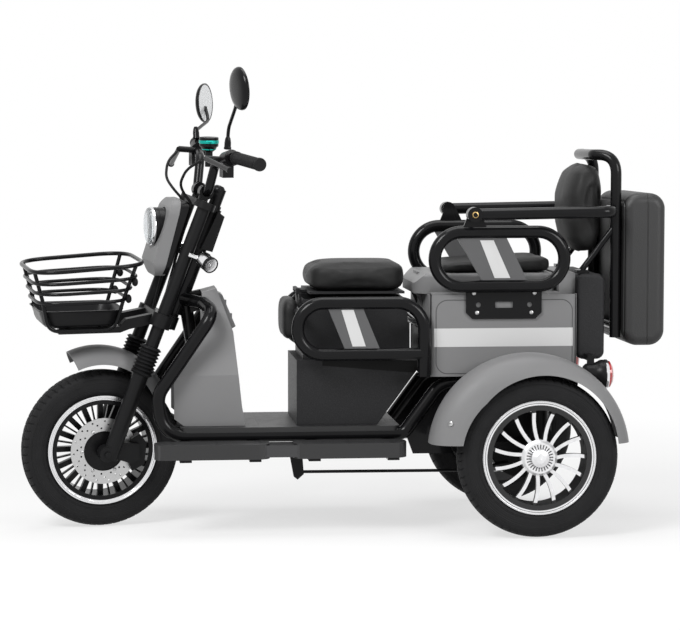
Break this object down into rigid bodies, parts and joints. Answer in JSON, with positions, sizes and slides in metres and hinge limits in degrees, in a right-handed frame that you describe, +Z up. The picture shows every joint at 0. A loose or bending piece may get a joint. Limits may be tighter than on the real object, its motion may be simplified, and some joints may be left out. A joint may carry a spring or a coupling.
{
  "type": "electric tricycle",
  "caption": "Three-wheeled electric scooter with a step-through frame, wire front basket, rider's seat, padded trunk seat with backrest, and a rear luggage case.",
  "frame": {"origin": "on the ground under the middle of the whole vehicle's box, steering parked 12 degrees to the left", "axes": "+X to the rider's left, -Y the way it drives, +Z up"},
  "size_m": [0.7496, 1.653, 1.1784],
  "materials": {
    "black_alloy": "satin",
    "bright_alloy": "machined",
    "charcoal_leather": "grained",
    "charcoal_plastic": "grained",
    "chrome": "polished",
    "clear_lens": "clear",
    "dark_paint": "satin",
    "gloss_black_paint": "gloss",
    "grey_body": "satin",
    "red_lens": "gloss",
    "soft_rubber": "matte",
    "steel": "brushed",
    "tyre_rubber": "matte"
  },
  "bodies": {
    "chassis": {"backrest_cushion": "charcoal_leather", "backrest_frame": "gloss_black_paint", "battery_block": "charcoal_plastic", "brake_linkage": "steel", "floor_board": "charcoal_plastic", "foot_boards": "charcoal_plastic", "hoop_plates": "charcoal_plastic", "leg_shield": "grey_body", "luggage_case": "charcoal_plastic", "main_frame": "gloss_black_paint", "nose_pad": "charcoal_leather", "rear_axle": "dark_paint", "rear_case": "charcoal_plastic", "rear_fenders": "grey_body", "rear_shocks": "dark_paint", "seat_box": "grey_body", "shield_back_panel": "grey_body", "side_hoops": "gloss_black_paint", "tail_lamps": "red_lens", "trunk_body": "grey_body", "upper_hoops": "gloss_black_paint"},
    "steering": {"fork": "dark_paint", "fork_gaiters": "soft_rubber", "front_fender": "grey_body", "basket_wires": "gloss_black_paint", "basket_tray": "charcoal_plastic", "headlamp_shell": "chrome", "headlamp_lens": "clear_lens", "headlamp_plate": "grey_body", "headlamp_back": "charcoal_plastic", "brake_cables": "soft_rubber", "handlebar": "gloss_black_paint", "grips": "soft_rubber", "hand_controls": "charcoal_plastic", "display": "charcoal_plastic", "mirrors": "charcoal_plastic", "turn_signals": "chrome", "brake_caliper": "dark_paint", "control_box": "charcoal_plastic"},
    "front_wheel": {"tyre_front": "tyre_rubber", "rim_front": "black_alloy", "brake_disc": "steel"},
    "rear_wheel_left": {"tyre_rear_left": "tyre_rubber", "rim_rear_left": "bright_alloy"},
    "rear_wheel_right": {"tyre_rear_right": "tyre_rubber", "rim_rear_right": "bright_alloy"},
    "armrest_left_arm": {"armrest_left": "gloss_black_paint"},
    "armrest_right_arm": {"armrest_right": "gloss_black_paint"},
    "front_seat": {"seat_pan": "charcoal_plastic", "front_cushion": "charcoal_leather"},
    "trunk_cover": {"trunk_lid": "grey_body", "rear_cushion": "charcoal_leather"}
  },
  "joints": [
    {"name": "steer", "type": "hinge", "parent": "chassis", "child": "steering", "pos_m": [0, -0.6435, 0], "axis": [0, 0.3584, 0.9336], "range_deg": [-52, 28]},
    {"name": "front_wheel_spin", "type": "hinge", "parent": "steering", "child": "front_wheel", "pos_m": [0.01178, -0.62434, 0.20456], "axis": [0.9781, 0.1941, -0.0745], "continuous": true},
    {"name": "rear_wheel_left_spin", "type": "hinge", "parent": "chassis", "child": "rear_wheel_left", "pos_m": [0.297, 0.4705, 0.205], "axis": [1, 0, 0], "continuous": true},
    {"name": "rear_wheel_right_spin", "type": "hinge", "parent": "chassis", "child": "rear_wheel_right", "pos_m": [-0.297, 0.4705, 0.205], "axis": [1, 0, 0], "continuous": true},
    {"name": "armrest_left_tilt", "type": "hinge", "parent": "chassis", "child": "armrest_left_arm", "pos_m": [0.233, 0.3185, 0.811], "axis": [1, 0, 0], "range_deg": [0, 95]},
    {"name": "armrest_right_tilt", "type": "hinge", "parent": "chassis", "child": "armrest_right_arm", "pos_m": [-0.233, 0.3185, 0.811], "axis": [1, 0, 0], "range_deg": [0, 95]},
    {"name": "seat_tilt", "type": "hinge", "parent": "chassis", "child": "front_seat", "pos_m": [0, -0.1125, 0.611], "axis": [1, 0, 0], "range_deg": [0, 70]},
    {"name": "trunk_lid_tilt", "type": "hinge", "parent": "chassis", "child": "trunk_cover", "pos_m": [0, 0.2025, 0.6], "axis": [1, 0, 0], "range_deg": [0, 40]}
  ]
}
